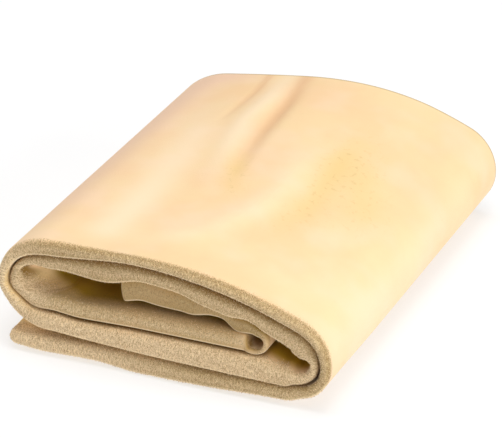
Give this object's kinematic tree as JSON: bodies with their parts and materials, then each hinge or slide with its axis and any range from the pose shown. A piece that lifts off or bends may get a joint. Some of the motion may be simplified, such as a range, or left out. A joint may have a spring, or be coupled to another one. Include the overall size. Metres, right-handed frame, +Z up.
{
  "type": "chamois leather",
  "caption": "Soft chamois leather skin, doubled with its round fold to the front and rolled flat for storage, for drying and polishing.",
  "frame": {"origin": "middle of the base that the bundle lies on", "axes": "+X across the bundle to the right turns, +Y from the round front folds to the free edges at the back, +Z up"},
  "size_m": [0.14, 0.18, 0.0512],
  "materials": {
    "suede": "soft napped suede, matt"
  },
  "bodies": {
    "tail": {"tail_leaf": "suede", "right_outer_fold": "suede"},
    "roll": {"top_leaf": "suede", "left_outer_fold": "suede", "lower_leaf": "suede", "right_inner_fold": "suede", "inner_top_leaf": "suede", "left_inner_fold": "suede", "floor_leaf": "suede", "curl_fold": "suede"},
    "tongue": {"tongue_leaf": "suede"}
  },
  "joints": [
    {"name": "roll_open", "type": "hinge", "parent": "tail", "child": "roll", "pos_m": [0.07, 0, 0.02565], "axis": [0, 1, 0], "range_deg": [0, 180], "deforming": ["right_outer_fold"]},
    {"name": "tongue_press", "type": "hinge", "parent": "roll", "child": "tongue", "pos_m": [0.03897, 0, 0.02405], "axis": [0, -1, 0], "range_deg": [0, 4], "stiffness_Nm_per_rad": 0.05, "springref_deg": -8.59}
  ]
}
